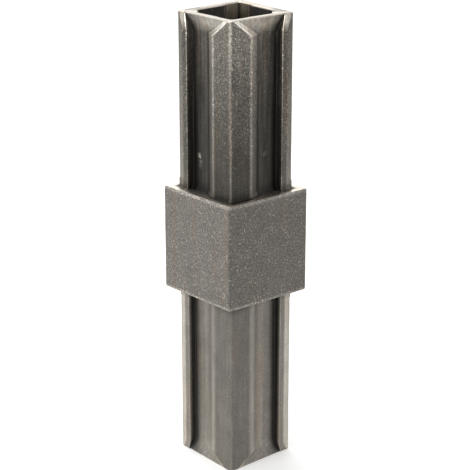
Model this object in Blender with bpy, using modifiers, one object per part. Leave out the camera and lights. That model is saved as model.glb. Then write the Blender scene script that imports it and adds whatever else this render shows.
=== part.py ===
"""Square tube connector, in line: a raw casting that joins two square steel tubes end to end.

One piece of metal. A square block the size of the tube's outside sits between the tube ends,
and a hollow square arm reaches into each tube. Every arm face has a channel pressed into it
between a wide pad at the ridge corner and a narrow pad at the parting corner, so that only the
pads touch the tube. The channels ramp out to the full square at the arm's open end. The parting
corners, where the two halves of the mould met, are relieved by a shallow flat on each face, and
the narrow pads beside them taper in at the open end, to lead the arm into the tube.

Metres, +Z up along both arms, origin on the floor under the middle of the lower arm's end.
The ridge corners are at (-,-) and (+,+), the parting corners at (-,+) and (+,-).
"""
import math

import bpy
import bmesh
from mathutils import Matrix, Vector

MM = 0.001

# Block between the two tube ends
BLOCK_WIDTH = 25.0 * MM
BLOCK_HEIGHT = 26.2 * MM
BLOCK_EDGE_RADIUS = 0.7 * MM

# Arms that go into the tubes
ARM_WIDTH = 20.4 * MM
UPPER_ARM_LENGTH = 43.2 * MM
LOWER_ARM_LENGTH = 43.9 * MM
RIDGE_CORNER_RADIUS = 0.9 * MM
RELIEF_WIDTH = 2.6 * MM
RELIEF_DEPTH = 0.52 * MM
PARTING_EDGE_RADIUS = 0.5 * MM
WALL = 2.1 * MM
WEB_THICKNESS = 3.0 * MM

# Channel on each arm face, seen in section from the ridge corner to the parting corner
WIDE_PAD = 6.2 * MM
SLOPE_RUN = 4.0 * MM
NARROW_PAD = 4.4 * MM
CHANNEL_DEPTH = 2.0 * MM

# Root of each arm beside the block: fillet round the pads, ramp and step in each channel
ROOT_FILLET = 0.6 * MM
ROOT_RAMP = 1.2 * MM
ROOT_STEP = 0.7 * MM

# Run-out of the channels at the open ends: length of the ramp, what is left of the two pads at
# the rim, how far the narrow pad tapers in there, and how deep the channel still is beside each
UPPER_END = {"ramp": 4.0 * MM, "ridge_tip": 0.9 * MM, "parting_tip": 3.1 * MM,
             "taper": 0.5 * MM, "ridge_lip": 0.15 * MM, "parting_lip": 0.1 * MM}
LOWER_END = {"ramp": 2.6 * MM, "ridge_tip": 2.2 * MM, "parting_tip": 3.2 * MM,
             "taper": 0.4 * MM, "ridge_lip": 0.1 * MM, "parting_lip": 0.1 * MM}
RIM_SLOPE_RUN = 2.6 * MM

# Hollow of each arm: pockets behind the wide pads
POCKET_WIDTH = 2.6 * MM
POCKET_SLOPE = 3.6 * MM
RIM_HOLLOW_STEP = 0.3 * MM

# Modelling allowances, not sizes of the casting
OVERSHOOT = 1.0 * MM
TAPER_OVERLAP = 0.3 * MM
SKIN = 0.02 * MM
RIDGE_SEGMENTS = 4
PARTING_SEGMENTS = 3
BLOCK_EDGE_SEGMENTS = 3
FILLET_SEGMENTS = 3

HALF_ARM = ARM_WIDTH / 2
HALF_BLOCK = BLOCK_HEIGHT / 2
BLOCK_MIDDLE = LOWER_ARM_LENGTH + HALF_BLOCK


def clear_scene():
    for old in list(bpy.data.objects):
        bpy.data.objects.remove(old, do_unlink=True)


def new_collection(name):
    collection = bpy.data.collections.new(name)
    bpy.context.scene.collection.children.link(collection)
    return collection


def add_object(name, bm, collection):
    bmesh.ops.recalc_face_normals(bm, faces=bm.faces)
    mesh = bpy.data.meshes.new(name)
    bm.to_mesh(mesh)
    bm.free()
    piece = bpy.data.objects.new(name, mesh)
    collection.objects.link(piece)
    return piece


def cast_iron():
    material = bpy.data.materials.new("raw_cast_metal")
    material.use_nodes = True
    shader = material.node_tree.nodes["Principled BSDF"]
    shader.inputs["Base Color"].default_value = (0.16, 0.15, 0.135, 1.0)
    shader.inputs["Metallic"].default_value = 0.85
    shader.inputs["Roughness"].default_value = 0.5
    return material


def corner_arc(before, corner, after, radius, segments):
    """Points of the arc that rounds a corner between its two neighbours."""
    inward = (before - corner).normalized()
    onward = (after - corner).normalized()
    half_angle = inward.angle(onward) / 2
    bisector = (inward + onward).normalized()
    centre = corner + bisector * radius / math.sin(half_angle)
    sweep = math.pi - 2 * half_angle
    points = []
    for step in range(segments + 1):
        turn = sweep * (step / segments - 0.5)
        points.append(centre - radius * (Matrix.Rotation(turn, 2) @ bisector))
    return points


def arm_outline():
    """Arm section from the ridge corner at (-,-) round through the parting corner at (+,-)."""
    half = HALF_ARM
    low = RELIEF_DEPTH - half
    quarter = [
        (Vector((-half, -half)), RIDGE_CORNER_RADIUS, RIDGE_SEGMENTS),
        (Vector((half - RELIEF_WIDTH, -half)), 0.0, 0),
        (Vector((-low, low)), PARTING_EDGE_RADIUS, PARTING_SEGMENTS),
        (Vector((half, RELIEF_WIDTH - half)), 0.0, 0),
    ]
    corners = quarter + [(-point, radius, segments) for point, radius, segments in quarter]
    outline = []
    for i, (corner, radius, segments) in enumerate(corners):
        before = corners[i - 1][0]
        after = corners[(i + 1) % len(corners)][0]
        if segments:
            outline += corner_arc(before, corner, after, radius, segments)
        else:
            outline.append(corner)
    return outline


def arm_ring(height, offset):
    """Arm section at a height, with each of its flats moved out by offset."""
    outline = arm_outline()
    ring = []
    for i, point in enumerate(outline):
        first = (point - outline[i - 1]).normalized()
        second = (outline[(i + 1) % len(outline)] - point).normalized()
        normals = Vector((first.y, -first.x)), Vector((second.y, -second.x))
        mitre = (normals[0] + normals[1]) / (1 + normals[0].dot(normals[1]))
        ring.append((point + offset * mitre).to_3d() + Vector((0, 0, height)))
    return ring


def build_arm_bar(collection):
    """Both arms as one bar through the block, before the channels and hollows are taken out."""
    rings = [arm_ring(0.0, 0.0), arm_ring(BLOCK_MIDDLE + HALF_BLOCK + UPPER_ARM_LENGTH, 0.0)]
    return loft("arm_bar", rings, collection)


def build_root_fillets(collection):
    """Hollow-curved collar at each end of the block, where the arms leave it."""
    profile = []
    for step in range(FILLET_SEGMENTS):
        height = ROOT_FILLET * step / FILLET_SEGMENTS
        offset = ROOT_FILLET - math.sqrt(ROOT_FILLET ** 2 - (ROOT_FILLET - height) ** 2)
        profile.append((HALF_BLOCK + height, offset))
    profile.append((HALF_BLOCK + ROOT_FILLET, -SKIN))
    lower = [arm_ring(BLOCK_MIDDLE - height, offset) for height, offset in reversed(profile)]
    upper = [arm_ring(BLOCK_MIDDLE + height, offset) for height, offset in profile]
    return loft("root_fillets", lower + upper, collection)


def loft(name, rings, collection):
    """Closed solid through rings of equally many points, with a cap at each end."""
    bm = bmesh.new()
    loops = [[bm.verts.new(point) for point in ring] for ring in rings]
    count = len(rings[0])
    for lower, upper in zip(loops, loops[1:]):
        for i in range(count):
            j = (i + 1) % count
            bm.faces.new((lower[i], lower[j], upper[j], upper[i]))
    bm.faces.new(loops[0])
    bm.faces.new(loops[-1])
    return add_object(name, bm, collection)


def channel_section(height, wide_pad, slope_run, narrow_pad, ridge_depth, parting_depth):
    """Channel outline on the face at y = -HALF_ARM. The floor runs from one depth to the other."""
    wall_foot = ARM_WIDTH - narrow_pad
    section = [
        (wide_pad, -SKIN),
        (wide_pad + slope_run, ridge_depth),
        (wall_foot, parting_depth),
        (wall_foot, -SKIN),
        (wall_foot, -OVERSHOOT),
        (wide_pad, -OVERSHOOT),
    ]
    return [Vector((along - HALF_ARM, depth - HALF_ARM, height)) for along, depth in section]


def channel_rings(rim_height, end):
    """Rings from the block out to the open end, for the arm that points along +Z."""
    full = (WIDE_PAD, SLOPE_RUN, NARROW_PAD, CHANNEL_DEPTH, CHANNEL_DEPTH)
    root_depth = CHANNEL_DEPTH - ROOT_STEP
    root = (WIDE_PAD, SLOPE_RUN, NARROW_PAD, root_depth, root_depth)
    parting_depth = end["taper"] + end["parting_lip"]
    rim = (end["ridge_tip"], RIM_SLOPE_RUN, end["parting_tip"], end["ridge_lip"], parting_depth)
    rings = [
        channel_section(HALF_BLOCK, *root),
        channel_section(HALF_BLOCK + ROOT_RAMP, *full),
        channel_section(rim_height - end["ramp"], *full),
        channel_section(rim_height, *rim),
    ]
    return rings + [carried_on(rings[-1])]


def taper_rings(rim_height, end):
    """Wedge that takes the narrow pad's taper off, from the start of the channel's ramp."""
    def section(height, narrow_pad, depth):
        inner = ARM_WIDTH - narrow_pad - TAPER_OVERLAP
        outer = ARM_WIDTH + OVERSHOOT
        corners = [(inner, depth), (outer, depth), (outer, -OVERSHOOT), (inner, -OVERSHOOT)]
        return [Vector((along - HALF_ARM, deep - HALF_ARM, height)) for along, deep in corners]

    rings = [
        section(rim_height - end["ramp"], NARROW_PAD, -SKIN),
        section(rim_height, end["parting_tip"], end["taper"]),
    ]
    return rings + [carried_on(rings[-1])]


def hollow_ring(height, step):
    """Section of the arm's hollow: a square with a pocket behind each wide pad."""
    near = WALL - HALF_ARM
    deep = WALL + step - HALF_ARM
    quarter = [
        Vector((near, near)),
        Vector((near + POCKET_WIDTH, near)),
        Vector((near + POCKET_WIDTH + POCKET_SLOPE, deep)),
        Vector((-deep, deep)),
        Vector((-deep, -(near + POCKET_WIDTH + POCKET_SLOPE))),
        Vector((-near, -(near + POCKET_WIDTH))),
    ]
    outline = quarter + [-point for point in quarter]
    return [Vector((x, y, height)) for x, y in outline]


def hollow_rings(rim_height, end):
    rings = [
        hollow_ring(WEB_THICKNESS / 2, CHANNEL_DEPTH),
        hollow_ring(rim_height - end["ramp"], CHANNEL_DEPTH),
        hollow_ring(rim_height, RIM_HOLLOW_STEP),
    ]
    return rings + [carried_on(rings[-1])]


def carried_on(ring):
    """The last section again, past the rim, so that the cutter runs clear of it."""
    return [point + Vector((0, 0, OVERSHOOT)) for point in ring]


def placed(rings, transform):
    lift = Matrix.Translation((0, 0, BLOCK_MIDDLE))
    return [[lift @ transform @ point for point in ring] for ring in rings]


def build_arm_cutters(label, arm_length, end, flip, collection):
    """Four channels and tapers and one hollow. flip turns the upward arm downward."""
    swap = Matrix(((0, 1, 0, 0), (1, 0, 0, 0), (0, 0, 1, 0), (0, 0, 0, 1)))
    half_turn = Matrix.Rotation(math.pi, 4, 'Z')
    faces = {
        "front_right": Matrix.Identity(4),
        "front_left": swap,
        "back_left": half_turn,
        "back_right": half_turn @ swap,
    }
    rim_height = HALF_BLOCK + arm_length
    cutters = []
    for face, turn in faces.items():
        channel = placed(channel_rings(rim_height, end), flip @ turn)
        cutters.append(loft(f"cut_{label}_channel_{face}", channel, collection))
        taper = placed(taper_rings(rim_height, end), flip @ turn)
        cutters.append(loft(f"cut_{label}_taper_{face}", taper, collection))
    rings = placed(hollow_rings(rim_height, end), flip)
    cutters.append(loft(f"cut_{label}_hollow", rings, collection))
    return cutters


def build_block(collection):
    bpy.ops.mesh.primitive_cube_add(size=1.0, location=(0, 0, 0))
    block = bpy.context.active_object
    block.name = "connector_casting"
    block.data.name = "connector_casting"
    size = Matrix.Diagonal((BLOCK_WIDTH, BLOCK_WIDTH, BLOCK_HEIGHT, 1.0))
    block.data.transform(Matrix.Translation((0, 0, BLOCK_MIDDLE)) @ size)
    for old in list(block.users_collection):
        old.objects.unlink(block)
    collection.objects.link(block)
    edges = block.modifiers.new("cast_edges", 'BEVEL')
    edges.width = BLOCK_EDGE_RADIUS
    edges.segments = BLOCK_EDGE_SEGMENTS
    edges.limit_method = 'ANGLE'
    return block


def combine(piece, tool, operation):
    step = piece.modifiers.new(f"{operation.lower()}_{tool.name}", 'BOOLEAN')
    step.operation = operation
    step.solver = 'EXACT'
    step.object = tool
    tool.hide_render = True
    tool.display_type = 'WIRE'


def build_connector():
    clear_scene()
    parts = new_collection("square_tube_connector")
    cutters = new_collection("cutters")

    casting = build_block(parts)
    combine(casting, build_arm_bar(cutters), 'UNION')
    combine(casting, build_root_fillets(cutters), 'UNION')

    upright = Matrix.Identity(4)
    upside_down = Matrix.Diagonal((1, 1, -1, 1))
    tools = build_arm_cutters("upper", UPPER_ARM_LENGTH, UPPER_END, upright, cutters)
    tools += build_arm_cutters("lower", LOWER_ARM_LENGTH, LOWER_END, upside_down, cutters)
    for tool in tools:
        combine(casting, tool, 'DIFFERENCE')
    casting.data.materials.append(cast_iron())


build_connector()
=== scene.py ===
import math

import bmesh
import bpy
from mathutils import Matrix, Vector, noise


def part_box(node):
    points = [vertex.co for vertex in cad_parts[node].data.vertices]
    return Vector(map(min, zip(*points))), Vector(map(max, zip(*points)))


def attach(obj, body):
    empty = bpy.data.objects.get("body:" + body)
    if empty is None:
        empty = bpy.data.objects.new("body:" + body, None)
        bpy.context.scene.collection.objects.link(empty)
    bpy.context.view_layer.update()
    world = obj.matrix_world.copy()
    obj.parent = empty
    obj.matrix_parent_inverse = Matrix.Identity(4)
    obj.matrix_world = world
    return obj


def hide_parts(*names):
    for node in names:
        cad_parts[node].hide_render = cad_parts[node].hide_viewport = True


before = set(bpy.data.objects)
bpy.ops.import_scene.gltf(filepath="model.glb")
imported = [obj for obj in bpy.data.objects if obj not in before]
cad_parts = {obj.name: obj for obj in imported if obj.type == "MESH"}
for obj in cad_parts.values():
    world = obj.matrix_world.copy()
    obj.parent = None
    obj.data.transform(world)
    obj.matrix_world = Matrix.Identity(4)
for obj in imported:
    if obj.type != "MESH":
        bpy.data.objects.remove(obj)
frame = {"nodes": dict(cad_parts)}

print("frame loaded:", ", ".join(frame["nodes"]))
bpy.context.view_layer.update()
mm = 0.001

# The casting, in millimetres. Height is counted from the middle of the block, and a place on an
# arm face by its distance from the ridge corner and its depth below the arm's square.
casting = {
    "armWidth": 20.4,
    "blockEdge": 0.45,           # rounding of the block's edges
    "blockCorner": 0.6,          # rounding of its upright edges
    "ridgeRadius": 0.9,
    "reliefWidth": 2.6,          # flat that relieves each side of a parting corner
    "reliefDepth": 0.52,
    "reliefStop": 2.3,           # the flats end this far from the block
    "reliefFade": 0.3,           # over this length
    "reliefRest": 0.14,          # how much less deep the corner is from there to the block
    "partingRadius": 0.5,
    "wall": 2.1,
    "web": 3.0,                  # closes both hollows in the middle of the block
    "webRound": 0.8,
    "widePad": 6.6,
    "slopeRun": 4.0,
    "narrowPad": 4.25,
    "channelDepth": 2.0,
    "rootFillet": 0.6,           # rounding between an arm and the block's shoulder
    "rootRamp": 1.2,             # the channels are shallower by rootStep there
    "rootStep": 0.7,
    "rimSlopeRun": 1.5,          # what a slope, its foot and the pocket's step become at the rim
    "rimFootRound": 1.0,
    "rimHollowStep": 0.3,
    "pocketWidth": 4.0,          # the hollow's pocket behind a ridge corner
    "pocketSlope": 1.4,
    "pocketRound": 0.6,
    "slopeRound": 0.8,
    "hollowCut": 2.5,            # the hollow's corner is cut off behind a parting corner
    "cutRound": 0.5,
    "turn": 0.35,                # how softly a ramp starts at the pads' edges
    "floorTurn": 1.7,            # and in the floor of a channel
    "rimOuter": 0.28,            # rounding of the rim
    "rimInner": 0.22,
    "crestRound": 0.7,
    "wallFootRound": 0.25,
    "wallTopRound": 0.2,
}

# Where the two arms differ: length, the foot of a channel's slope, and the ramps, tips and lips at
# the open ends
arms = {
    "upper": {"length": 43.2, "footRound": 5.0, "ramp": 4.0, "ridgeTip": 0.9, "partingTip": 3.1,
              "taper": 0.5, "ridgeLip": 0.15, "partingLip": 0.1},
    "lower": {"length": 43.9, "footRound": 11.0, "ramp": 2.6, "ridgeTip": 2.2, "partingTip": 3.2,
              "taper": 0.4, "ridgeLip": 0.1, "partingLip": 0.1},
}

# What keeps a section in order where its stretches get short
limits = {
    "cornerShare": 0.45,         # of the shorter stretch beside a rounded corner
    "ridgeShare": 0.7,           # of a wide pad, for the ridge's rounding
    "wallRise": 0.05,
    "reliefWidth": 1.05,
    "reliefShare": 0.75,         # of a narrow pad
}

# How many faces each stretch across a quarter of the section gets
across = {"ridgeArc": 5, "widePad": 8, "crest": 4, "slope": 5, "foot": 6, "floor": 8,
          "wallFoot": 4, "wall": 2, "wallTop": 3, "narrowPad": 4, "relief": 4, "partingArc": 3}
acrossCount = sum(across.values())
bandAt = [name for name, count in across.items() for _ in range(count)] + ["partingArc"]
ridgeLineCount = 2               # points nearest the ridge's top
blockArcCount = 4                # faces of half an upright edge of the block
hollowAcross = {"pocketArc": 5, "pocket": 6, "slopeStart": 3, "slope": 5, "slopeEnd": 4,
                "cutStart": 4, "cut": 3}

# How many levels each stretch along the skin gets, or how far apart they are
lengthwise = {
    "side": 24,
    "blockEdge": 4,
    "shoulder": 5,
    "fillet": 4,
    "filletPower": 1.5,          # packs the fillet's levels towards the shoulder
    "root": 4,
    "rootSpacing": 0.2,
    "reliefStart": 0.7,          # one level this far before the relief flats' end
    "armSpacing": 0.55,
    "turn": 4,
    "rampSpacing": 0.3,
    "rimArc": 3,
    "rim": 4,
    "hollowStart": 0.02,         # share of the ramp
    "hollowRamp": 10,
    "hollow": 34,
    "webArc": 3,
    "webShares": (0.35, 0.7, 1.0),     # of the way to the web's middle
}

low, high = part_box("connector_casting")
blockHalf = (high.x - low.x) / 2 / mm
blockHalfHeight = ((high.z - low.z) / mm - arms["upper"]["length"] - arms["lower"]["length"]) / 2
middleHeight = low.z / mm + arms["lower"]["length"] + blockHalfHeight
armHalf = casting["armWidth"] / 2


def blend(a, b, share):
    return a + (b - a) * share


def between(first, second, share):
    # a section part of the way from one to another
    return [a.lerp(b, share) for a, b in zip(first, second)]


def quarterTurn(count, first=0):
    # rise and run of a round edge, from its start to a quarter of a turn
    angles = [math.pi / 2 * step / count for step in range(first, count + 1)]
    return [(math.sin(angle), math.cos(angle)) for angle in angles]


def stretch(start, end, count):
    # count points from start towards end, end left out
    return [start.lerp(end, step / count) for step in range(count)]


def softStart(distance, softness):
    # 0 before the start of a ramp, then its run, joined by a short curve
    if distance <= -softness:
        return 0.0
    if distance >= softness:
        return distance
    return (distance + softness) ** 2 / (4 * softness)


def roundCorner(before, corner, after, radius, count):
    # count + 1 points of the curve that rounds a corner, kept within the stretches beside it
    inward = (before - corner).normalized()
    onward = (after - corner).normalized()
    halfAngle = inward.angle(onward) / 2
    room = limits["cornerShare"] * min((before - corner).length, (after - corner).length)
    reach = min(radius / math.tan(halfAngle), room)
    start = corner + inward * reach
    end = corner + onward * reach
    points = []
    for step in range(count + 1):
        t = step / count
        points.append(start * (1 - t) ** 2 + corner * (2 * t * (1 - t)) + end * t ** 2)
    return points


def ridgePoint(along, grow):
    # the arm's square near the ridge corner, moved out by grow
    radius = casting["ridgeRadius"]
    if along >= radius:
        return Vector((along, -grow))
    reach = radius + grow
    return Vector((along, radius - math.sqrt(max(reach ** 2 - (radius - along) ** 2, 0.0))))


def partingPoint(fromCorner, shape):
    # the narrow pad, its relief flat and its taper
    slope = shape["relief"] / (casting["reliefWidth"] - shape["relief"])
    depth = max(casting["reliefWidth"] - fromCorner, 0.0) * slope
    return Vector((casting["armWidth"] - fromCorner, max(depth, shape["taper"]) - shape["grow"]))


def armSection(shape):
    # a quarter of an arm's outside, from the ridge's diagonal to the parting corner's
    width = casting["armWidth"]
    grow = shape["grow"]
    widePad = shape["widePad"]
    crest = Vector((widePad, ridgePoint(widePad, grow).y))
    foot = Vector((widePad + shape["slopeRun"], shape["ridgeDepth"]))
    wallFoot = Vector((width - shape["narrowPad"], shape["partingDepth"]))
    wallTop = partingPoint(shape["narrowPad"], shape)
    wallTop.y = min(wallTop.y, shape["partingDepth"] - limits["wallRise"])

    diagonal = casting["ridgeRadius"] - (casting["ridgeRadius"] + grow) / math.sqrt(2)
    arcEnd = min(casting["ridgeRadius"], limits["ridgeShare"] * widePad)
    padStart = ridgePoint(arcEnd, grow)
    crestArc = roundCorner(padStart, crest, foot, casting["crestRound"], across["crest"])
    footArc = roundCorner(crest, foot, wallFoot, shape["footRound"], across["foot"])
    wallFootArc = roundCorner(foot, wallFoot, wallTop, casting["wallFootRound"], across["wallFoot"])

    # rounded line where the two relief flats meet
    slope = shape["relief"] / (casting["reliefWidth"] - shape["relief"])
    slopeAngle = math.atan(slope)
    radius = casting["partingRadius"] + grow
    toCentre = casting["partingRadius"] / math.cos(math.pi / 4 - slopeAngle)
    centre = shape["relief"] + toCentre / math.sqrt(2)
    partingArc = []
    for step in range(across["partingArc"] + 1):
        angle = blend(math.pi / 2 - slopeAngle, math.pi / 4, step / across["partingArc"])
        depth = max(centre - radius * math.sin(angle), shape["taper"] - grow)
        fromCorner = centre - radius * math.cos(angle)
        partingArc.append(Vector((width - max(fromCorner, depth), depth)))

    # the taper eats into the relief flat from the pad's side
    boundary = max(casting["reliefWidth"] - shape["taper"] / slope, limits["reliefWidth"])
    boundary = min(boundary, limits["reliefShare"] * shape["narrowPad"])
    reliefStart = partingPoint(boundary, shape)
    wallTopArc = roundCorner(wallFoot, wallTop, reliefStart, casting["wallTopRound"], across["wallTop"])

    points = []
    for step in range(across["ridgeArc"]):
        points.append(ridgePoint(blend(diagonal, arcEnd, step / across["ridgeArc"]), grow))
    points += stretch(padStart, crestArc[0], across["widePad"])
    points += crestArc[:-1]
    points += stretch(crestArc[-1], footArc[0], across["slope"])
    points += footArc[:-1]
    points += stretch(footArc[-1], wallFootArc[0], across["floor"])
    points += wallFootArc[:-1]
    points += stretch(wallFootArc[-1], wallTopArc[0], across["wall"])
    points += wallTopArc[:-1]
    points += stretch(wallTopArc[-1], reliefStart, across["narrowPad"])
    points += stretch(reliefStart, partingArc[0], across["relief"])
    return points + partingArc


def hollowSection(step):
    # a quarter of the hollow: its walls stand step further in than those of the pocket
    counts = hollowAcross
    near = casting["wall"]
    deep = near + step
    width = casting["armWidth"]
    pocketEnd = Vector((near + casting["pocketWidth"], near))
    slopeEnd = Vector((near + casting["pocketWidth"] + casting["pocketSlope"], deep))
    start = Vector((near, near))
    cutStart = Vector((width - deep - casting["hollowCut"], deep))
    cutEnd = Vector((width - deep, deep + casting["hollowCut"]))
    cutMiddle = (cutStart + cutEnd) / 2
    otherEnd = Vector((pocketEnd.y, pocketEnd.x))
    pocketArc = roundCorner(otherEnd, start, pocketEnd, casting["pocketRound"], 2 * counts["pocketArc"])
    pocketArc = pocketArc[counts["pocketArc"]:]
    firstArc = roundCorner(start, pocketEnd, slopeEnd, casting["slopeRound"], counts["slopeStart"])
    secondArc = roundCorner(pocketEnd, slopeEnd, cutStart, casting["slopeRound"], counts["slopeEnd"])
    cutArc = roundCorner(slopeEnd, cutStart, cutEnd, casting["cutRound"], counts["cutStart"])
    cutArc += stretch(cutArc[-1], cutMiddle, counts["cut"])[1:] + [cutMiddle]
    points = pocketArc[:-1]
    points += stretch(pocketArc[-1], firstArc[0], counts["pocket"])
    points += firstArc[:-1]
    points += stretch(firstArc[-1], secondArc[0], counts["slope"])
    points += secondArc[:-1]
    rest = acrossCount - len(points) - len(cutArc) + 1
    points += stretch(secondArc[-1], cutArc[0], rest)
    return points + cutArc


def blockSection(inset):
    # a quarter of the block, counted from the corner of the arm's square like an arm's section
    radius = casting["blockCorner"] - inset
    edge = armHalf - blockHalf + inset
    arc = []
    for step in range(blockArcCount + 1):
        angle = math.pi / 4 * (1 + step / blockArcCount)
        x = edge + radius * (1 - math.cos(angle))
        y = edge + radius * (1 - math.sin(angle))
        arc.append(Vector((x, y)))
    mirrored = [Vector((casting["armWidth"] - p.x, p.y)) for p in reversed(arc)]
    return arc[:-1] + stretch(arc[-1], mirrored[0], acrossCount - 2 * blockArcCount) + mirrored


def shifted(points, amount):
    # the section moved out by amount, square to itself; its two ends stay on the diagonals
    moved = []
    last = len(points) - 1
    for i, point in enumerate(points):
        if i == 0:
            outward = Vector((-1, -1)).normalized()
        elif i == last:
            outward = Vector((1, -1)).normalized()
        else:
            run = (points[i + 1] - points[i - 1]).normalized()
            outward = Vector((run.y, -run.x))
        moved.append(point + outward * amount)
    return moved


def rampShare(arm, height, softness):
    # 0 below the ramp at an open end, 1 at its rim
    toRim = blockHalfHeight + arm["length"] - height
    return softStart(arm["ramp"] - toRim, softness) / arm["ramp"]


def outside(arm, height):
    # the outside of an arm at one height
    out = rampShare(arm, height, casting["turn"])
    floorOut = rampShare(arm, height, casting["floorTurn"])
    fromBlock = height - blockHalfHeight
    rise = casting["rootStep"] * max(1 - fromBlock / casting["rootRamp"], 0.0)
    channel = casting["channelDepth"] - rise
    grow = 0.0
    if fromBlock < casting["rootFillet"]:
        fillet = casting["rootFillet"]
        grow = fillet - math.sqrt(max(fillet ** 2 - (fillet - fromBlock) ** 2, 0.0))
    rest = min(max((casting["reliefStop"] - fromBlock) / casting["reliefFade"], 0.0), 1.0)
    return armSection({
        "widePad": blend(casting["widePad"], arm["ridgeTip"], out),
        "slopeRun": blend(casting["slopeRun"], casting["rimSlopeRun"], out),
        "narrowPad": blend(casting["narrowPad"], arm["partingTip"], out),
        "ridgeDepth": blend(channel, arm["ridgeLip"], floorOut),
        "partingDepth": blend(channel, arm["taper"] + arm["partingLip"], floorOut),
        "taper": arm["taper"] * out,
        "relief": casting["reliefDepth"] - casting["reliefRest"] * rest,
        "footRound": blend(arm["footRound"], casting["rimFootRound"], out),
        "grow": grow,
    })


def inside(arm, height):
    # its hollow at one height
    out = rampShare(arm, height, casting["turn"])
    return hollowSection(blend(casting["channelDepth"], casting["rimHollowStep"], out))


# The levels of the skin, from the middle of the block out over one arm, its rim and down into its
# hollow. Each has its height, its section, the name of its zone and how much painted shade darkens it
# there.
def blockLevels(arm):
    # the block's side, its edge and its shoulder, in to the arm's root
    edge = casting["blockEdge"]
    sideTop = blockHalfHeight - edge
    levels = []
    for step in range(lengthwise["side"]):
        levels.append((sideTop * step / lengthwise["side"], blockSection(0.0), "side", 1.0))
    for step, (rise, run) in enumerate(quarterTurn(lengthwise["blockEdge"])):
        zone = "blockEdge" if step < lengthwise["blockEdge"] else "shoulder"
        levels.append((sideTop + edge * rise, blockSection(edge * (1 - run)), zone, 1.0))
    shoulder = blockSection(edge)
    root = outside(arm, blockHalfHeight)
    for step in range(1, lengthwise["shoulder"]):
        share = step / lengthwise["shoulder"]
        # painted shade on the shoulder, darkest in the corner at the arm's root
        shadeAndSpots = blend(1.0, paintedLightAndWear["rootShade"], share ** paintedLightAndWear["rootShadePower"])
        levels.append((blockHalfHeight, between(shoulder, root, share), "shoulder", shadeAndSpots))
    return levels


def armLevels(arm):
    # close together at the root, where the relief flats end, and on the ramp
    fillet = casting["rootFillet"]
    fade = casting["reliefFade"]
    filletShares = [step / lengthwise["fillet"] for step in range(lengthwise["fillet"])]
    heights = [fillet * share ** lengthwise["filletPower"] for share in filletShares]
    heights += [fillet + step * lengthwise["rootSpacing"] for step in range(lengthwise["root"])]

    plainStart = casting["reliefStop"]
    plainEnd = arm["length"] - arm["ramp"] - casting["turn"]
    plainCount = round((plainEnd - plainStart) / lengthwise["armSpacing"])
    heights += [plainStart - before for before in (lengthwise["reliefStart"], fade, fade / 2)]
    heights += [blend(plainStart, plainEnd, step / plainCount) for step in range(plainCount)]

    turnSpacing = 2 * casting["turn"] / lengthwise["turn"]
    heights += [plainEnd + step * turnSpacing for step in range(lengthwise["turn"] + 1)]
    rampStart = heights[-1]
    rampEnd = arm["length"] - casting["rimOuter"]
    rampCount = round((rampEnd - rampStart) / lengthwise["rampSpacing"])
    heights += [blend(rampStart, rampEnd, step / rampCount) for step in range(1, rampCount + 1)]

    levels = []
    for fromBlock in heights:
        zone = "ramp" if fromBlock >= rampStart else "arm"
        # painted shade up the arm from the corner at its root
        shadeAndSpots = blend(paintedLightAndWear["rootShade"], 1.0, min(fromBlock / paintedLightAndWear["rootShadeReach"], 1.0))
        height = blockHalfHeight + fromBlock
        levels.append((height, outside(arm, height), zone, shadeAndSpots))
    return levels


def rimLevels(arm):
    # over the rim's outer edge, across it and over its inner edge
    rim = blockHalfHeight + arm["length"]
    outer = outside(arm, rim)
    inner = inside(arm, rim)
    outerRound = casting["rimOuter"]
    innerRound = casting["rimInner"]
    levels = []
    for rise, run in quarterTurn(lengthwise["rimArc"], first=1):
        edge = shifted(outer, -outerRound * (1 - run))
        levels.append((rim - outerRound * (1 - rise), edge, "rimEdge", 1.0))
    rimOut = shifted(outer, -outerRound)
    rimIn = shifted(inner, innerRound)
    for step in range(1, lengthwise["rim"]):
        levels.append((rim, between(rimOut, rimIn, step / lengthwise["rim"]), "rim", 1.0))
    for rise, run in quarterTurn(lengthwise["rimArc"]):
        edge = shifted(inner, innerRound * (1 - rise))
        levels.append((rim - innerRound * (1 - run), edge, "rimEdge", 1.0))
    return levels


def hollowLevels(arm):
    # down the hollow to the web, and in to the web's middle
    rim = blockHalfHeight + arm["length"]
    top = rim - casting["rimInner"]
    rampFoot = rim - arm["ramp"] - casting["turn"]
    webTop = casting["web"] / 2
    webRound = casting["webRound"]
    heights = []
    for step in range(lengthwise["hollowRamp"] + 1):
        share = max(step / lengthwise["hollowRamp"], lengthwise["hollowStart"])
        heights.append(blend(top, rampFoot, share))
    for step in range(1, lengthwise["hollow"] + 1):
        heights.append(blend(rampFoot, webTop + webRound, step / lengthwise["hollow"]))
    levels = [(height, inside(arm, height), "hollow", 1.0) for height in heights]

    hollow = inside(arm, webTop)
    for rise, run in quarterTurn(lengthwise["webArc"], first=1):
        foot = shifted(hollow, -webRound * (1 - run))
        levels.append((webTop + webRound * (1 - rise), foot, "hollow", 1.0))
    centre = [Vector((armHalf, armHalf))] * (acrossCount + 1)
    for share in lengthwise["webShares"]:
        levels.append((webTop, between(foot, centre, share), "hollow", 1.0))
    return levels


def skinLevels(arm):
    return blockLevels(arm) + armLevels(arm) + rimLevels(arm) + hollowLevels(arm)
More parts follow.
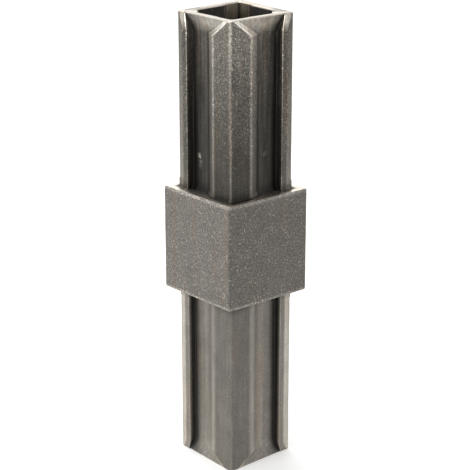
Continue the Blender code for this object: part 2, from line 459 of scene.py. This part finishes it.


# Tone of each part of the surface against the plain cast skin, much of it painted light and shade: the
# channels and the hollow painted dark as shade, the shoulder, the rim and the edges painted light as
# reflections and highlights, and the lower arm painted lighter than the upper as light from the floor
# falls on it. What a tube has rubbed is also lighter, as worn metal.
paintedLightAndWear = {
    "side": 1.0,
    # painted highlights on the block's edges and the rim's edges, painted reflection of a bright sky on
    # the shoulder and the rim's top
    "blockEdge": 1.9,
    "blockCorner": 0.75,
    "shoulder": 6.6,
    "rimEdge": 3.2,
    "rim": 4.8,
    # painted shade in the hollow, with the pocket painted light
    "hollow": 0.16,
    "pocket": 3.6,
    "pocketCorner": 0.8,
    # upper arm, lower arm, and painted light and shade where their channels run out at the open ends
    "ridgeLine": (1.3, 1.15, 1.0, 1.0),
    "ridgeArc": (0.75, 1.0, 1.0, 1.0),
    "widePad": (0.68, 0.98, 1.0, 1.0),
    "crest": (1.6, 1.55, 2.8, 1.4),
    "slope": (1.45, 2.5, 1.9, 1.0),
    "foot": (0.46, 1.7, 2.6, 0.95),
    "floor": (0.33, 1.38, 3.4, 0.95),
    "wallFoot": (0.14, 0.2, 0.8, 0.8),
    "wall": (0.5, 0.28, 1.0, 0.8),
    "wallTop": (1.6, 2.0, 1.8, 1.1),
    "narrowPad": (0.66, 1.4, 5.2, 1.1),
    "relief": (1.0, 2.95, 1.0, 1.0),
    "partingArc": (0.95, 2.2, 1.0, 1.0),
    "rampShadingRush": 1.8,             # how fast that painted light and shade comes on over a ramp
    # painted light that all but the parting corners get beside the block, and at the open end
    "upperEndLight": (0.75, 2.0),
    "lowerEndLight": (0.93, 1.25),
    "endLightPower": 2.5,             # the painted light is mostly near the end
    "upperRelief": (1.15, 0.72),  # for the upper parting corners, darker towards the open end, in place of the painted end light
    "shadeBesideWall": (0.42, 0.66, 0.84, 0.94),    # painted shade on the floor's last faces before the wall
    "padRootShade": 0.62,             # painted shade on the upper wide pads beside the block
    "padRootShadeReach": 0.5,         # share of the arm
    "rootShade": 0.4,             # painted shade in the corner between an arm and the shoulder
    "rootShadePower": 4,          # how close to the arm it stays on the shoulder
    "rootShadeReach": 2.5,            # millimetres up an arm
}

# How strongly grain and streaks show on each part
coarseness = {
    "block": (1.0, 0.0),
    "edge": (0.25, 0.0),
    "hollow": (0.3, 0.6),
    "lowerArm": (0.25, 0.25),
    "upperRamp": (0.3, 0.6),
    "upperGrain": (0.35, 1.0),   # beside the block, and further up
    "upperGrainRush": 1.8,       # how fast it comes on up the arm
    "channelGrain": 0.5,         # against the pads' grain
    "channelStreak": (0.6, 1.3),  # beside the block, and at the open end
    "padStreak": 0.3,
}


def shareOfArm(armName, height):
    # 0 at the block, 1 at the open end
    return min(max((abs(height) - blockHalfHeight) / arms[armName]["length"], 0.0), 1.0)


def hollowTone(i):
    # the pocket stands in the light, the rest of the hollow doesn't
    if i < hollowAcross["pocketArc"] - 1:
        return paintedLightAndWear["pocketCorner"]
    pocketCount = hollowAcross["pocketArc"] + hollowAcross["pocket"] + hollowAcross["slopeStart"]
    return paintedLightAndWear["pocket" if i < pocketCount else "hollow"]


def toneAt(armName, zone, i, height):
    # how light the skin is at point i of a section, with its painted light and shade
    band = "ridgeLine" if i < ridgeLineCount else bandAt[i]
    if zone == "hollow":
        return hollowTone(i)
    if zone == "side" and (i < blockArcCount or i > acrossCount - blockArcCount):
        return paintedLightAndWear["blockCorner"]
    if zone not in ("arm", "ramp"):
        return paintedLightAndWear[zone]
    upper = armName == "upper"
    along = shareOfArm(armName, height)
    upperTone, lowerTone, upperRampShading, lowerRampShading = paintedLightAndWear[band]
    tone = upperTone if upper else lowerTone
    # painted shade on the floor's last faces before the wall
    beforeWall = bandAt.index("wallFoot") - 1 - i
    if 0 <= beforeWall < len(paintedLightAndWear["shadeBesideWall"]):
        tone *= paintedLightAndWear["shadeBesideWall"][beforeWall]
    if band not in ("narrowPad", "relief", "partingArc"):
        # painted light, lighter towards the open end
        rootLight, endLight = paintedLightAndWear["upperEndLight" if upper else "lowerEndLight"]
        tone *= blend(rootLight, endLight, along ** paintedLightAndWear["endLightPower"])
        if upper and band in ("widePad", "ridgeArc"):
            # painted shade on the upper wide pads beside the block
            tone *= blend(paintedLightAndWear["padRootShade"], 1.0, min(along / paintedLightAndWear["padRootShadeReach"], 1.0))
    elif upper and band != "narrowPad":
        tone *= blend(*paintedLightAndWear["upperRelief"], along)
    # painted light and shade on the ramps at the open ends
    rampLength = arms[armName]["ramp"] + casting["turn"]
    climb = max(1 - (1 - along) * arms[armName]["length"] / rampLength, 0.0)
    rampShading = upperRampShading if upper else lowerRampShading
    return tone * blend(1.0, rampShading, min(climb * paintedLightAndWear["rampShadingRush"], 1.0))


def coarseAt(armName, zone, i, height):
    # how strongly grain and streaks show
    if zone in ("side", "blockEdge"):
        return coarseness["block"]
    if zone in ("rim", "rimEdge", "shoulder"):
        return coarseness["edge"]
    if zone == "hollow":
        return coarseness["hollow"]
    if armName == "lower":
        return coarseness["lowerArm"]
    if zone == "ramp" and bandAt[i] not in ("ridgeArc", "widePad"):
        return coarseness["upperRamp"]
    along = shareOfArm(armName, height)
    grainy = blend(*coarseness["upperGrain"], min(along * coarseness["upperGrainRush"], 1.0))
    if bandAt[i] in ("foot", "floor", "wallFoot", "wall"):
        return coarseness["channelGrain"] * grainy, blend(*coarseness["channelStreak"], along)
    return grainy, coarseness["padStreak"]


def sandyAt(armName, zone, i):
    # how dull the surface is, between rubbed metal at 0 and the block's skin at 1
    if zone in ("side", "blockEdge"):
        return 1.0
    if armName == "lower":
        return metal["lowerSandy"]
    inChannel = zone in ("arm", "ramp") and bandAt[i] in ("slope", "foot", "floor", "wallFoot", "wall")
    return metal["channelSandy"] if inChannel else 0.0


surfaceLayers = ("tone", "coarse", "streaky", "sandy")      # what each point tells the metal


def buildSkin():
    # one quarter of the skin as a grid laid over the sections, then mirrored in both diagonals
    upper = [("upper", height, *rest) for height, *rest in skinLevels(arms["upper"])]
    lower = [("lower", -height, *rest) for height, *rest in skinLevels(arms["lower"])]
    levels = lower[:0:-1] + upper
    bm = bmesh.new()
    alongCount = len(levels) - 1
    gridHalf = 0.5
    bmesh.ops.create_grid(bm, x_segments=acrossCount, y_segments=alongCount, size=gridHalf)
    tone, coarse, streaky, sandy = [bm.verts.layers.float.new(name) for name in surfaceLayers]
    for v in bm.verts:
        i = round((v.co.x + gridHalf) * acrossCount)
        j = round((v.co.y + gridHalf) * alongCount)
        armName, height, points, zone, shadeAndSpots = levels[j]
        v.co = Vector((points[i].x - armHalf, points[i].y - armHalf, middleHeight + height)) * mm
        # the tone with its painted light and shade, times the painted shade at the arms' roots
        v[tone] = toneAt(armName, zone, i, height) * shadeAndSpots
        v[coarse], v[streaky] = coarseAt(armName, zone, i, height)
        v[sandy] = sandyAt(armName, zone, i)
    for angle in (45, 135):
        plane = Matrix.Rotation(math.radians(angle), 4, 'Z')
        geometry = bm.verts[:] + bm.edges[:] + bm.faces[:]
        bmesh.ops.mirror(bm, geom=geometry, matrix=plane, merge_dist=-1.0, axis='Y')     # merged below
    weldDistance = 1e-6          # metres
    leastEdge = 1e-7
    bmesh.ops.remove_doubles(bm, verts=bm.verts, dist=weldDistance)
    bmesh.ops.dissolve_degenerate(bm, edges=bm.edges, dist=leastEdge)
    bmesh.ops.recalc_face_normals(bm, faces=bm.faces)
    openEdges = sum(1 for e in bm.edges if len(e.link_faces) != 2)
    print("skin:", len(bm.faces), "faces,", openEdges, "open edges")
    return bm


# How uneven the skin came out of the mould, in millimetres
unevenness = {
    "broad": 0.030,
    "broadSize": 5.0,
    "fine": 0.010,
    "fineSize": 1.1,
    "fineShift": (7, 3, 5),      # where the finer pattern starts
    "endFade": 1.5,              # it fades out this close to the open ends
}


def roughen(bm):
    # a slow unevenness and a finer one, and none at the ends, where the casting stands
    bm.normal_update()
    coarse = bm.verts.layers.float["coarse"]
    moves = []
    for v in bm.verts:
        place = v.co / mm
        broad = noise.noise(place / unevenness["broadSize"]) * unevenness["broad"]
        finePlace = place / unevenness["fineSize"] + Vector(unevenness["fineShift"])
        fine = noise.noise(finePlace) * unevenness["fine"]
        ends = min(min(v.co.z - low.z, high.z - v.co.z) / mm / unevenness["endFade"], 1.0)
        moves.append(v.normal * (broad + v[coarse] * (fine - unevenness["fine"])) * max(ends, 0.0) * mm)
    for v, move in zip(bm.verts, moves):
        v.co += move


# Small things on the upper rim: it isn't quite square to the arm, and it has burrs and painted dark
# spots near the parting corners. In millimetres, places from the arm's middle.
rimMarks = {
    "rise": 0.5,                 # how much higher the ridge corner at the back stands
    "riseReach": 4.0,            # how far down the arm that begins
    "rimDepth": 0.4,             # what is no further down than this is the rim
    "burrs": ((-7.6, 5.6), (5.6, -7.6)),
    "burrSize": 0.6,
    "burrHeight": 0.3,
    "burrReach": 0.6,            # how far a burr leans into the hollow
    "shadeAndSpots": ((-6.8, 9.3), (-4.6, 9.3), (9.3, -6.8), (9.3, -4.6)),
    "spotSize": 1.1,
    "spotTone": 0.08,            # how dark the spots are against the rim
}


def markRim(bm):
    tone = bm.verts.layers.float["tone"]

    def near(v, place, size):
        return math.exp(-((v.co.x / mm - place[0]) ** 2 + (v.co.y / mm - place[1]) ** 2) / size ** 2)

    for v in bm.verts:
        climb = 1 - (high.z - v.co.z) / mm / rimMarks["riseReach"]
        if climb <= 0:
            continue
        onRim = v.co.z > high.z - rimMarks["rimDepth"] * mm
        backward = max((v.co.x + v.co.y) / mm / casting["armWidth"], 0.0)
        v.co.z += rimMarks["rise"] * min(climb, 1.0) * backward * mm
        if not onRim:
            continue
        # painted dark spots on the rim
        for place in rimMarks["shadeAndSpots"]:
            v[tone] *= blend(1.0, rimMarks["spotTone"], near(v, place, rimMarks["spotSize"]))
        for place in rimMarks["burrs"]:
            share = near(v, place, rimMarks["burrSize"])
            inward = -Vector(place).normalized() * rimMarks["burrReach"]
            v.co += Vector((inward.x, inward.y, rimMarks["burrHeight"])) * share * mm


# Bright chips on the floors of the upper channels
chips = {
    "size": 0.36,
    "reach": 3,                  # in sizes
    # place from the block's middle, and how much lighter than what is round it
    "places": ((-8.2, 3.75, 21.7, 22.0), (-8.2, 3.3, 20.2, 7.0), (-8.2, 3.4, 19.1, 4.0),
               (-0.2, -8.2, 41.6, 2.5), (2.2, -8.2, 22.8, 4.0), (5.6, -8.2, 51.7, 2.0)),
}


def markChips(bm):
    tone = bm.verts.layers.float["tone"]
    for x, y, height, brightness in chips["places"]:
        place = Vector((x, y, middleHeight + height)) * mm
        for v in bm.verts:
            distance = (v.co - place).length / mm / chips["size"]
            if distance < chips["reach"]:
                v[tone] *= 1 + brightness * math.exp(-distance ** 2)


metal = {
    "skin": (0.1465, 0.1355, 0.1195),     # plain cast skin
    "metallic": (1.0, 0.35),              # arms, block
    "roughness": (0.3, 0.6),
    "lowerSandy": 0.5,                    # how far the lower arm is as dull as the block
    "channelSandy": 0.3,                  # the same for the upper arm's channels
    "squeeze": 0.07,                      # height counts this much in streaks and rust
    # patterns: size in millimetres, detail, and how strongly each one changes the tone
    "grainNoise": (0.38, 3.0),
    "grain": 0.55,
    "speckNoise": (0.45, 0.0),
    "speckRange": (0.64, 0.76),
    "speck": 1.0,
    "cloudNoise": (4.0, 3.0),
    "cloud": 0.1,
    "streakNoise": (0.9, 2.0),
    "streak": 0.42,
    "rustNoise": (2.5, 2.0),
    "rustRange": (0.52, 0.68),
    "rust": (1.06, 0.99, 0.92),
    "bumpHeight": 0.08,                   # millimetres
    "bump": (0.12, 0.4),                  # strength where the skin is smooth, and where it is coarse
    "bumpFrom": (0.3, 1.0),               # which coarseness these two stand for
}


def noiseField(nodes, links, vector, size, detail):
    field = nodes.new("ShaderNodeTexNoise")
    field.inputs["Scale"].default_value = 1 / (size * mm)
    field.inputs["Detail"].default_value = detail
    links.new(vector, field.inputs["Vector"])
    return field.outputs["Fac"]


def ranged(nodes, links, value, toMin, toMax, fromMin=0.3, fromMax=0.7):
    node = nodes.new("ShaderNodeMapRange")
    node.inputs["From Min"].default_value = fromMin
    node.inputs["From Max"].default_value = fromMax
    node.inputs["To Min"].default_value = toMin
    node.inputs["To Max"].default_value = toMax
    links.new(value, node.inputs["Value"])
    return node.outputs["Result"]


def times(nodes, links, a, b):
    node = nodes.new("ShaderNodeMath")
    node.operation = 'MULTIPLY'
    links.new(a, node.inputs[0])
    links.new(b, node.inputs[1])
    return node.outputs[0]


def layerValue(nodes, name):
    node = nodes.new("ShaderNodeAttribute")
    node.attribute_name = name
    return node.outputs["Fac"]


def castMetal():
    material = bpy.data.materials.new("raw cast metal")
    material.use_nodes = True
    nodes = material.node_tree.nodes
    links = material.node_tree.links
    shader = nodes["Principled BSDF"]
    coords = nodes.new("ShaderNodeTexCoord").outputs["Object"]
    squeezed = nodes.new("ShaderNodeMapping")
    squeezed.inputs["Scale"].default_value = (1.0, 1.0, metal["squeeze"])
    links.new(coords, squeezed.inputs["Vector"])
    tone, coarse, streaky, sandy = [layerValue(nodes, name) for name in surfaceLayers]
    for socket in ("Metallic", "Roughness"):
        arm, block = metal[socket.lower()]
        links.new(ranged(nodes, links, sandy, arm, block, 0.0, 1.0), shader.inputs[socket])

    grain = noiseField(nodes, links, coords, *metal["grainNoise"])
    speck = noiseField(nodes, links, coords, *metal["speckNoise"])
    cloud = noiseField(nodes, links, coords, *metal["cloudNoise"])
    streak = noiseField(nodes, links, squeezed.outputs["Vector"], *metal["streakNoise"])
    rust = noiseField(nodes, links, squeezed.outputs["Vector"], *metal["rustNoise"])

    # the coarse parts show grain and specks most, the channels show streaks
    grainSwing = ranged(nodes, links, grain, -1.0, 1.0)
    speckSwing = ranged(nodes, links, speck, 0.0, 1.0, *metal["speckRange"])
    streakSwing = ranged(nodes, links, streak, -1.0, 1.0)
    level = tone
    for field, amount, share in ((grainSwing, coarse, metal["grain"]),
                                 (speckSwing, coarse, metal["speck"]),
                                 (streakSwing, streaky, metal["streak"])):
        swing = times(nodes, links, field, amount)
        level = times(nodes, links, level, ranged(nodes, links, swing, 1 - share, 1 + share, -1.0, 1.0))
    clouded = ranged(nodes, links, cloud, 1 - metal["cloud"], 1 + metal["cloud"])
    level = times(nodes, links, level, clouded)

    # the skin's colour, with faint rust in places, times that level
    tint = nodes.new("ShaderNodeMix")
    tint.data_type = 'VECTOR'
    plain, rusty = tint.inputs[4], tint.inputs[5]      # its two vector sockets
    plain.default_value = metal["skin"]
    rusty.default_value = [a * b for a, b in zip(metal["skin"], metal["rust"])]
    links.new(ranged(nodes, links, rust, 0.0, 1.0, *metal["rustRange"]), tint.inputs["Factor"])
    color = nodes.new("ShaderNodeVectorMath")
    color.operation = 'SCALE'
    links.new(tint.outputs[1], color.inputs[0])        # its vector result
    links.new(level, color.inputs["Scale"])
    links.new(color.outputs["Vector"], shader.inputs["Base Color"])

    bump = nodes.new("ShaderNodeBump")
    bump.inputs["Distance"].default_value = metal["bumpHeight"] * mm
    links.new(ranged(nodes, links, coarse, *metal["bump"], *metal["bumpFrom"]), bump.inputs["Strength"])
    links.new(grain, bump.inputs["Height"])
    links.new(bump.outputs["Normal"], shader.inputs["Normal"])
    return material


bm = buildSkin()
roughen(bm)
markRim(bm)
markChips(bm)
skinMesh = bpy.data.meshes.new("casting_skin")
bm.to_mesh(skinMesh)
bm.free()
skinMesh.shade_smooth()
skin = bpy.data.objects.new("casting_skin", skinMesh)
bpy.context.scene.collection.objects.link(skin)
skinMesh.materials.append(castMetal())
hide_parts("connector_casting")
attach(skin, "root")
print("casting dressed")

# The studio, in metres: a pale floor that reads as white, and soft light from above and the left
studio = {
    "floorSize": 6.0,
    "floorColor": (0.82, 0.82, 0.81, 1.0),
    "floorRoughness": 0.9,
    "floorLift": 0.36,           # glow that only the camera and gloss see
    "worldFill": 0.5,            # the world's light on the casting
    # place, aim, size, watts
    "overhead": ((0.1, 0.35, 0.75), (0.0, 0.0, 0.05), 0.6, 4.0),
    "side": ((-0.7, 0.0, 0.3), (0.0, 0.0, 0.06), 0.4, 2.9),
    "cameraTurn": -40.48,        # degrees
    "cameraTilt": 18.1,
    "cameraDistance": 0.379,
    "cameraLens": 117.3,         # millimetres
    "sensorWidth": 36.0,
    "clipStart": 0.01,
    "aimRight": -0.000095,       # from the block's middle
    "aimUp": 0.00066,
}


def whiteRays(nodes, links):
    # 1 for rays from the camera, in gloss and through glass
    path = nodes.new("ShaderNodeLightPath")
    white = path.outputs["Is Camera Ray"]
    for kind in ("Is Glossy Ray", "Is Transmission Ray"):
        either = nodes.new("ShaderNodeMath")
        either.operation = 'MAXIMUM'
        links.new(white, either.inputs[0])
        links.new(path.outputs[kind], either.inputs[1])
        white = either.outputs[0]
    return white


def makeFloor():
    bm = bmesh.new()
    bmesh.ops.create_grid(bm, x_segments=1, y_segments=1, size=studio["floorSize"] / 2)
    mesh = bpy.data.meshes.new("studio_floor")
    bm.to_mesh(mesh)
    bm.free()
    floor = bpy.data.objects.new("studio_floor", mesh)
    bpy.context.scene.collection.objects.link(floor)
    material = bpy.data.materials.new("pale floor")
    material.use_nodes = True
    nodes = material.node_tree.nodes
    links = material.node_tree.links
    shader = nodes["Principled BSDF"]
    shader.inputs["Base Color"].default_value = studio["floorColor"]
    shader.inputs["Roughness"].default_value = studio["floorRoughness"]
    shader.inputs["Specular IOR Level"].default_value = 0.0
    shader.inputs["Emission Color"].default_value = (1.0, 1.0, 1.0, 1.0)
    lift = nodes.new("ShaderNodeMath")
    lift.operation = 'MULTIPLY'
    lift.inputs[1].default_value = studio["floorLift"]
    links.new(whiteRays(nodes, links), lift.inputs[0])
    links.new(lift.outputs[0], shader.inputs["Emission Strength"])
    mesh.materials.append(material)


def makeWorld():
    world = bpy.data.worlds.new("studio")
    bpy.context.scene.world = world
    world.use_nodes = True
    nodes = world.node_tree.nodes
    links = world.node_tree.links
    background = nodes["Background"]
    background.inputs["Color"].default_value = (1.0, 1.0, 1.0, 1.0)
    level = nodes.new("ShaderNodeMapRange")
    level.inputs["To Min"].default_value = studio["worldFill"]
    level.inputs["To Max"].default_value = 1.0
    links.new(whiteRays(nodes, links), level.inputs["Value"])
    links.new(level.outputs["Result"], background.inputs["Strength"])


def areaLamp(name):
    place, aim, size, watts = studio[name]
    light = bpy.data.lights.new(name, 'AREA')
    light.shape = 'SQUARE'
    light.size = size
    light.energy = watts
    lamp = bpy.data.objects.new(name, light)
    bpy.context.scene.collection.objects.link(lamp)
    lamp.location = place
    lamp.rotation_euler = (Vector(aim) - Vector(place)).to_track_quat('-Z', 'Y').to_euler()


def makeCamera():
    turn = math.radians(studio["cameraTurn"])
    tilt = math.radians(studio["cameraTilt"])
    away = Vector((math.sin(turn) * math.cos(tilt), -math.cos(turn) * math.cos(tilt), math.sin(tilt)))
    right = Vector((math.cos(turn), math.sin(turn), 0.0))
    up = away.cross(right)
    target = Vector((0.0, 0.0, middleHeight * mm))
    target += right * studio["aimRight"] + up * studio["aimUp"]
    lens = bpy.data.cameras.new("camera")
    lens.lens = studio["cameraLens"]
    lens.sensor_width = studio["sensorWidth"]
    lens.clip_start = studio["clipStart"]
    camera = bpy.data.objects.new("camera", lens)
    bpy.context.scene.collection.objects.link(camera)
    camera.location = target + away * studio["cameraDistance"]
    camera.rotation_euler = away.to_track_quat('Z', 'Y').to_euler()
    bpy.context.scene.camera = camera


makeFloor()
makeWorld()
areaLamp("overhead")
areaLamp("side")
makeCamera()
bpy.context.scene.view_settings.view_transform = 'Standard'
print("studio ready")
